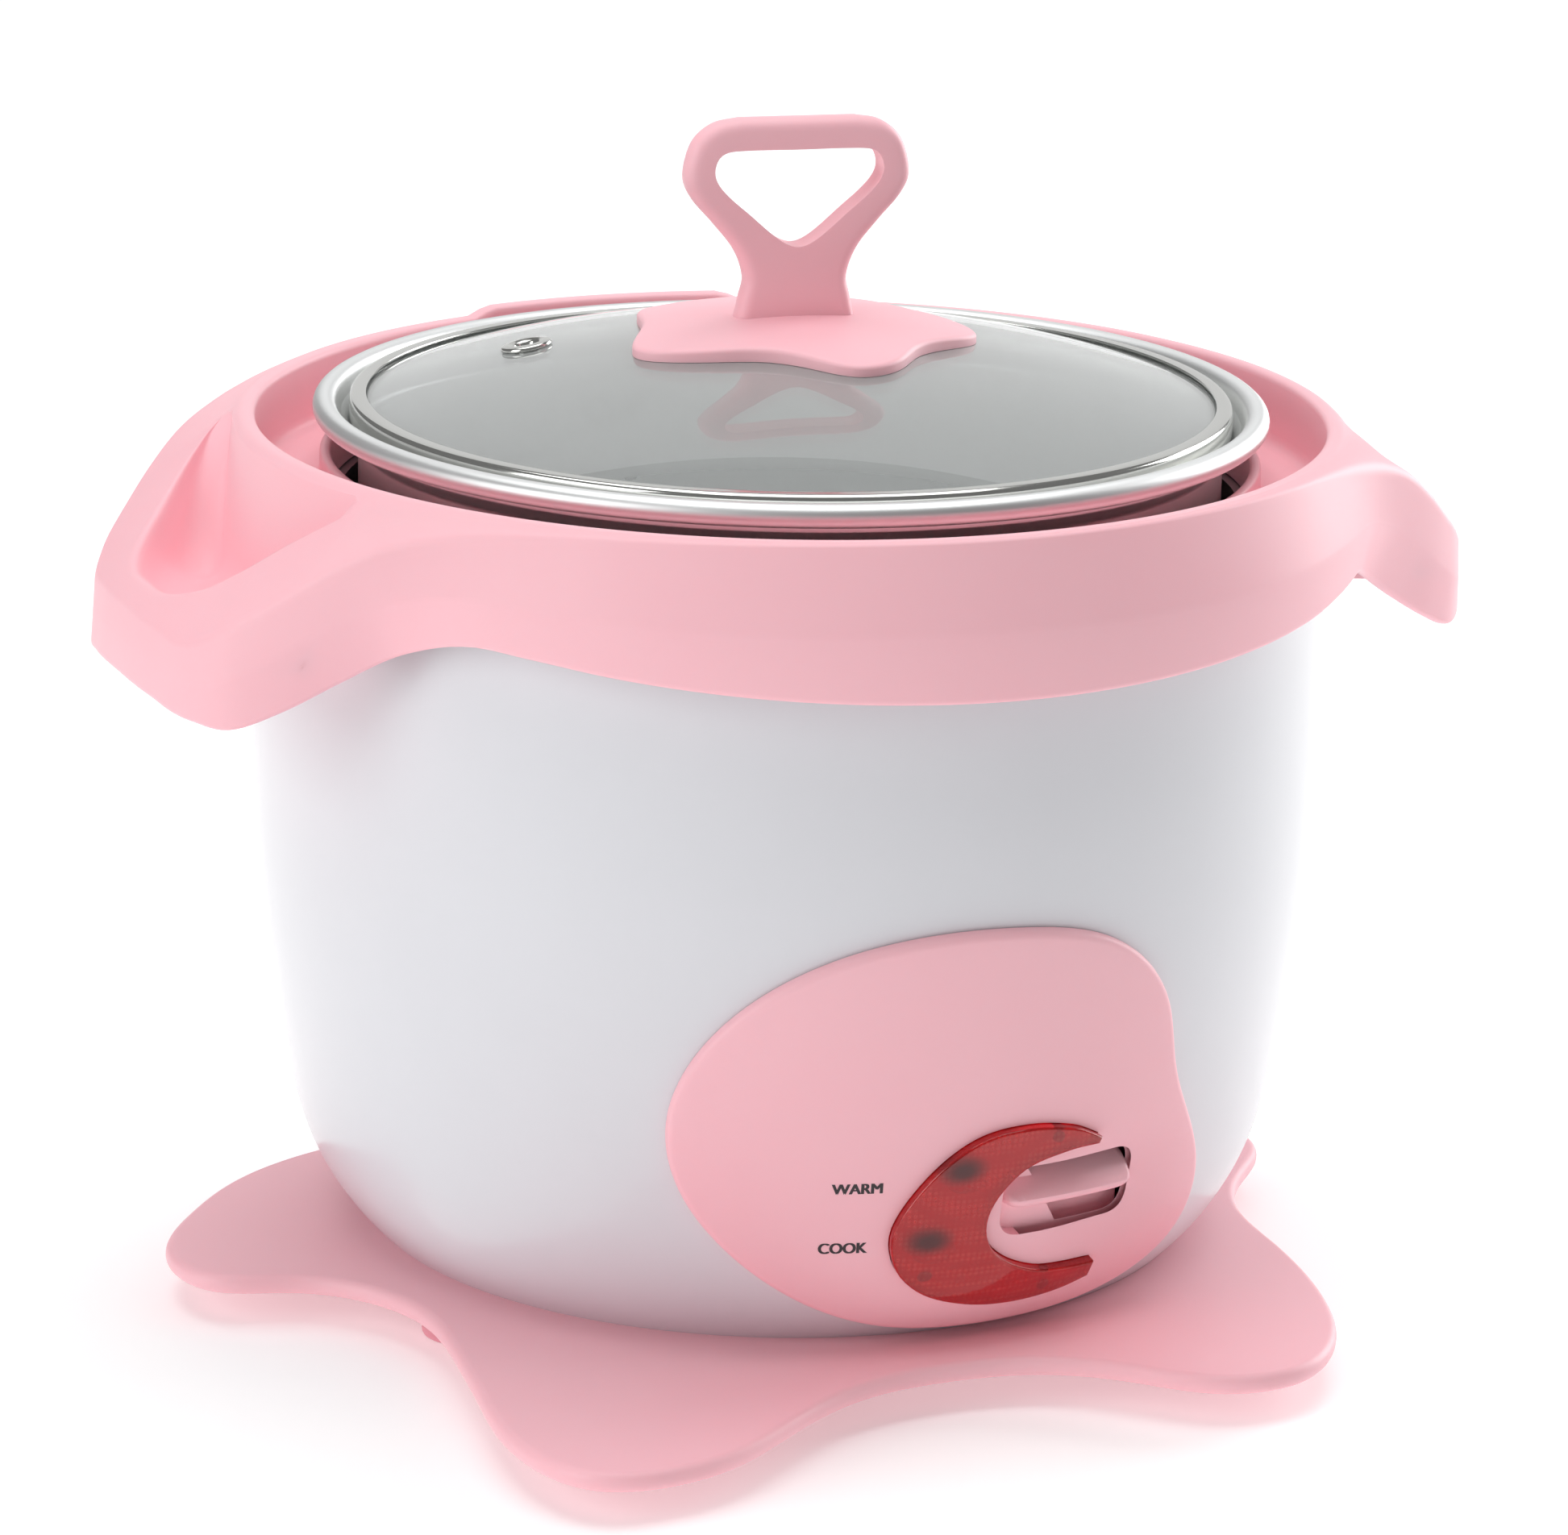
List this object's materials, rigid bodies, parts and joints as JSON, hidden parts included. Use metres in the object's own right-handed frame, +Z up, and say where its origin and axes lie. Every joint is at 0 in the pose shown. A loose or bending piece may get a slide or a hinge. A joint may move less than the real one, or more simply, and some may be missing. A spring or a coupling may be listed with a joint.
{
  "type": "rice cooker",
  "caption": "Electric rice cooker: white barrel body, collar with finger wings, splash-shaped base, glass lid, lift-out pot and a cook and warm lever.",
  "frame": {"origin": "centre of the footprint at the underside of the feet, on the axis of the body and pot", "axes": "+Z up, -Y towards the switch panel, X along the two finger wings of the collar"},
  "size_m": [0.3092, 0.296, 0.2595],
  "materials": {
    "pink_plastic": "satin moulded polypropylene",
    "pink_soft_plastic": "soft moulded foot",
    "white_enamel": "glossy baked enamel on pressed steel",
    "zinc_steel": "zinc plated",
    "spun_aluminium": "satin anodised",
    "cast_aluminium": "turned casting",
    "clear_glass": "clear tempered",
    "polished_steel": "polished stainless",
    "silicone": "moulded silicone",
    "element_sheath": "heat-toned sheath",
    "magnet_black": "sintered ferrite",
    "black_plastic": "moulded thermoset",
    "brass": "stamped blades",
    "red_lens": "transparent polycarbonate",
    "lead_insulation": "heat-resistant sleeve"
  },
  "bodies": {
    "root": {"base_plate": "pink_plastic", "base_screws": "zinc_steel", "collar": "pink_plastic", "control_panel": "pink_plastic", "cook_lamp": "clear_glass", "foot_front": "pink_soft_plastic", "foot_left": "pink_soft_plastic", "foot_rear": "pink_soft_plastic", "foot_right": "pink_soft_plastic", "heater_leg_1": "zinc_steel", "heater_leg_2": "zinc_steel", "heater_leg_3": "zinc_steel", "heater_terminal_1": "element_sheath", "heater_terminal_2": "element_sheath", "heating_element": "element_sheath", "heating_plate": "cast_aluminium", "indicator_lens": "red_lens", "inlet_pins": "brass", "inner_liner": "zinc_steel", "lamp_board": "black_plastic", "lead_earth": "lead_insulation", "lead_live": "lead_insulation", "lead_neutral": "lead_insulation", "leg_screws": "zinc_steel", "lens_pegs": "black_plastic", "micro_switch": "black_plastic", "micro_switch_bolt": "zinc_steel", "outer_body": "white_enamel", "pivot_bracket": "zinc_steel", "pivot_pin": "zinc_steel", "power_inlet": "black_plastic", "sensor_spring": "zinc_steel", "thermal_fuse": "black_plastic", "thermostat_can": "zinc_steel", "warm_lamp": "clear_glass"},
    "pot": {"inner_pot": "spun_aluminium"},
    "lid": {"lid_glass": "clear_glass", "lid_rim_band": "polished_steel", "vent_eyelet": "polished_steel", "lid_handle_plate": "pink_plastic", "lid_handle_loop": "pink_plastic", "lid_gasket": "silicone", "lid_washer": "zinc_steel", "lid_screw": "zinc_steel"},
    "switch": {"switch_lever": "pink_plastic", "switch_arm": "zinc_steel", "arm_screws": "zinc_steel"},
    "magnet": {"magnet_carrier": "zinc_steel", "pull_magnet": "magnet_black"},
    "sensor": {"sensor_cup": "spun_aluminium", "sensor_ferrite": "magnet_black"},
    "micro_button": {"micro_switch_button": "black_plastic"}
  },
  "joints": [
    {"name": "pot_lift", "type": "slide", "parent": "root", "child": "pot", "axis": [0, 0, 1], "range_m": [0, 0.14]},
    {"name": "lid_lift", "type": "slide", "parent": "pot", "child": "lid", "axis": [0, 0, 1], "range_m": [0, 0.08]},
    {"name": "switch_press", "type": "hinge", "parent": "root", "child": "switch", "pos_m": [0.01069, -0.05497, 0.044], "axis": [0.9816, 0.1908, 0], "range_deg": [0, 6]},
    {"name": "magnet_lift", "type": "slide", "parent": "root", "child": "magnet", "axis": [0, 0, 1], "range_m": [0, 0.0059]},
    {"name": "sensor_press", "type": "slide", "parent": "root", "child": "sensor", "axis": [0, 0, 1], "range_m": [-0.0025, 0], "stiffness_N_per_m": 400, "springref_m": 0.003, "deforming": ["sensor_spring"]},
    {"name": "micro_press", "type": "slide", "parent": "root", "child": "micro_button", "axis": [0, 0, 1], "range_m": [0, 0.0017]}
  ],
  "couplings": [
    {"joint": "magnet_lift", "follows": "switch_press", "m_per_rad": 0.056},
    {"joint": "micro_press", "follows": "switch_press", "m_per_rad": 0.016}
  ]
}
